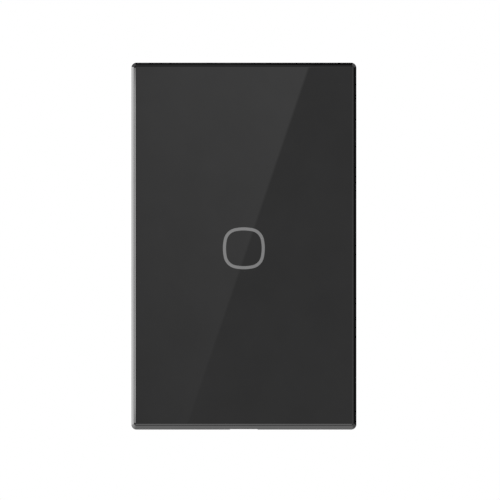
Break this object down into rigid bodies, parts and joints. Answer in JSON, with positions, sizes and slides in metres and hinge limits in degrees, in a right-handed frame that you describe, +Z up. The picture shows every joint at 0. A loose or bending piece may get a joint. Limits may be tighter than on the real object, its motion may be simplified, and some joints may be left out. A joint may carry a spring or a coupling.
{
  "type": "touch light switch",
  "caption": "Upright glass-faced touch light switch with a rounded-square touch ring; the glass panel pulls off a wall base with an in-wall relay housing.",
  "frame": {"origin": "centre of the face that rests on the wall", "axes": "+X to the right for a person facing the switch, +Z up, +Y into the wall"},
  "size_m": [0.0736, 0.0357, 0.12],
  "materials": {
    "black_glass": "polished clear",
    "black_print": "printed",
    "ring_white": "printed translucent",
    "tape": "foam tape",
    "frame_gloss": "polished black",
    "diffuser": "frosted",
    "base_plastic": "fine moulded texture",
    "plate_steel": "galvanised",
    "screw_steel": "nickel plated",
    "housing_plastic": "fine moulded texture",
    "terminal_plastic": "moulded",
    "brass": "plated",
    "copper": "bare",
    "board": "lacquered",
    "spring_steel": "plated",
    "chip_black": "moulded",
    "lamp_white": "epoxy",
    "relay_case": "moulded",
    "relay_iron": "plated",
    "bobbin_white": "moulded",
    "ferrite": "ground",
    "can_black": "sleeved",
    "film_yellow": "moulded",
    "varistor_blue": "dipped",
    "fuse_brown": "dipped"
  },
  "bodies": {
    "base": {"base_frame": "base_plastic", "mounting_plate": "plate_steel", "plate_screws": "screw_steel", "housing_screws": "screw_steel", "board_screws": "screw_steel", "touch_board_screws": "screw_steel", "rear_housing": "housing_plastic", "terminal_block": "terminal_plastic", "wire_plate": "terminal_plastic", "relay_contact": "brass", "relay_pins": "brass", "link_pins": "brass", "terminal_bars": "copper", "relay_coil": "copper", "transformer_winding": "copper", "power_board": "board", "touch_board": "board", "touch_spring": "spring_steel", "touch_chip": "chip_black", "converter_chip": "chip_black", "bridge_rectifier": "chip_black", "link_header": "chip_black", "link_socket": "chip_black", "choke": "chip_black", "transformer_bobbin": "chip_black", "relay_base": "chip_black", "ring_lamps": "lamp_white", "relay_cover": "relay_case", "relay_yoke": "relay_iron", "relay_core": "relay_iron", "relay_bobbin": "bobbin_white", "board_pillars": "bobbin_white", "transformer_core": "ferrite", "smoothing_capacitor": "can_black", "output_capacitor": "can_black", "film_capacitor": "film_yellow", "varistor": "varistor_blue", "fuse": "fuse_brown"},
    "front_panel": {"panel_frame": "frame_gloss", "panel_tape": "tape", "ring_print": "ring_white", "glass_print": "black_print", "glass_panel": "black_glass", "light_guide": "diffuser"},
    "armature": {"relay_armature": "relay_iron", "relay_leaf": "brass"},
    "mounting_screw_upper": {"mounting_screw_upper": "screw_steel"},
    "mounting_screw_lower": {"mounting_screw_lower": "screw_steel"},
    "terminal_screw_1": {"terminal_screw_1": "screw_steel"},
    "clamp_cage_1": {"clamp_cage_1": "brass"},
    "terminal_screw_2": {"terminal_screw_2": "screw_steel"},
    "clamp_cage_2": {"clamp_cage_2": "brass"},
    "terminal_screw_3": {"terminal_screw_3": "screw_steel"},
    "clamp_cage_3": {"clamp_cage_3": "brass"}
  },
  "joints": [
    {"name": "panel_pull", "type": "slide", "parent": "base", "child": "front_panel", "axis": [0, -1, 0], "range_m": [0, 0.02]},
    {"name": "armature_tilt", "type": "hinge", "parent": "base", "child": "armature", "pos_m": [-0.01105, 0.0068, 0.005], "axis": [1, 0, 0], "range_deg": [0, 3.5], "stiffness_Nm_per_rad": 0.02, "springref_deg": -5.73},
    {"name": "terminal_1_turn", "type": "hinge", "parent": "base", "child": "terminal_screw_1", "pos_m": [-0.0094, 0.0209, -0.0292], "axis": [0, 0, 1], "range_deg": [0, 1800]},
    {"name": "cage_1_rise", "type": "slide", "parent": "base", "child": "clamp_cage_1", "axis": [0, 0, -1], "range_m": [0, 0.003]},
    {"name": "terminal_2_turn", "type": "hinge", "parent": "base", "child": "terminal_screw_2", "pos_m": [0, 0.0209, -0.0292], "axis": [0, 0, 1], "range_deg": [0, 1800]},
    {"name": "cage_2_rise", "type": "slide", "parent": "base", "child": "clamp_cage_2", "axis": [0, 0, -1], "range_m": [0, 0.003]},
    {"name": "terminal_3_turn", "type": "hinge", "parent": "base", "child": "terminal_screw_3", "pos_m": [0.0094, 0.0209, -0.0292], "axis": [0, 0, 1], "range_deg": [0, 1800]},
    {"name": "cage_3_rise", "type": "slide", "parent": "base", "child": "clamp_cage_3", "axis": [0, 0, -1], "range_m": [0, 0.003]},
    {"name": "mounting_upper_turn", "type": "hinge", "parent": "base", "child": "mounting_screw_upper", "pos_m": [0, 0, 0.042], "axis": [0, 1, 0], "continuous": true},
    {"name": "mounting_lower_turn", "type": "hinge", "parent": "base", "child": "mounting_screw_lower", "pos_m": [0, 0, -0.042], "axis": [0, 1, 0], "continuous": true}
  ],
  "couplings": [
    {"joint": "terminal_1_turn", "follows": "cage_1_rise", "rad_per_m": 10472},
    {"joint": "terminal_2_turn", "follows": "cage_2_rise", "rad_per_m": 10472},
    {"joint": "terminal_3_turn", "follows": "cage_3_rise", "rad_per_m": 10472}
  ]
}
